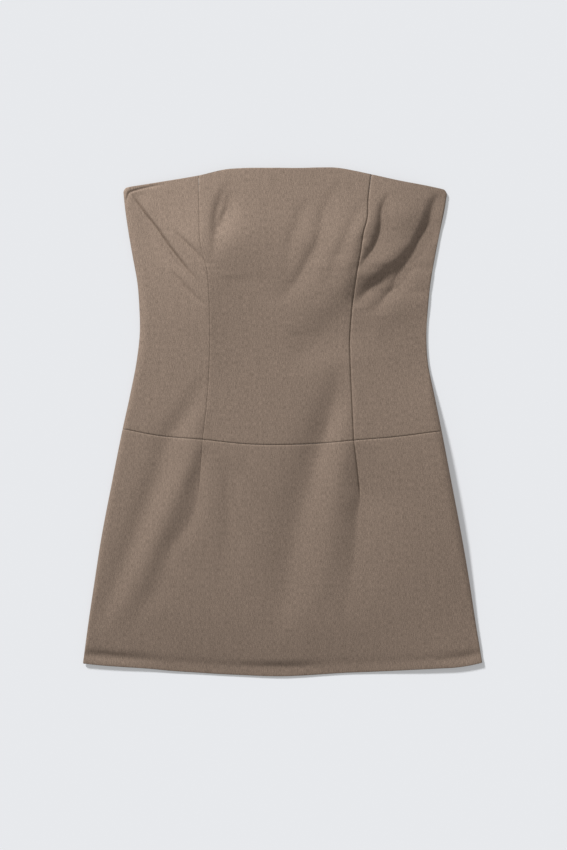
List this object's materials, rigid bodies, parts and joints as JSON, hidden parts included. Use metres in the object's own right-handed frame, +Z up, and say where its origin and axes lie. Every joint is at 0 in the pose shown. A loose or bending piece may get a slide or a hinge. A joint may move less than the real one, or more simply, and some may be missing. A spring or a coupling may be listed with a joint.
{
  "type": "strapless dress, laid flat",
  "caption": "Strapless short dress of suiting cloth with princess seams, a dropped waist seam and darts, zipped up and laid flat on its back.",
  "frame": {"origin": "middle of the laid outline, on the surface that the dress rests on", "axes": "+X to the wearer's left, +Y from the hem to the top edge, +Z up from the surface through the front"},
  "size_m": [0.5187, 0.6614, 0.0193],
  "materials": {
    "suiting": "matte fine-ribbed suiting twill, taupe with a light melange",
    "zip_tape": "matte woven tape with a nylon coil"
  },
  "bodies": {
    "root": {"centre_front": "suiting", "side_front_right": "suiting", "side_front_left": "suiting", "skirt_front": "suiting", "back_bodice_right": "suiting", "back_bodice_left": "suiting", "skirt_back_right": "suiting", "skirt_back_left": "suiting", "zip": "zip_tape"}
  },
  "joints": []
}
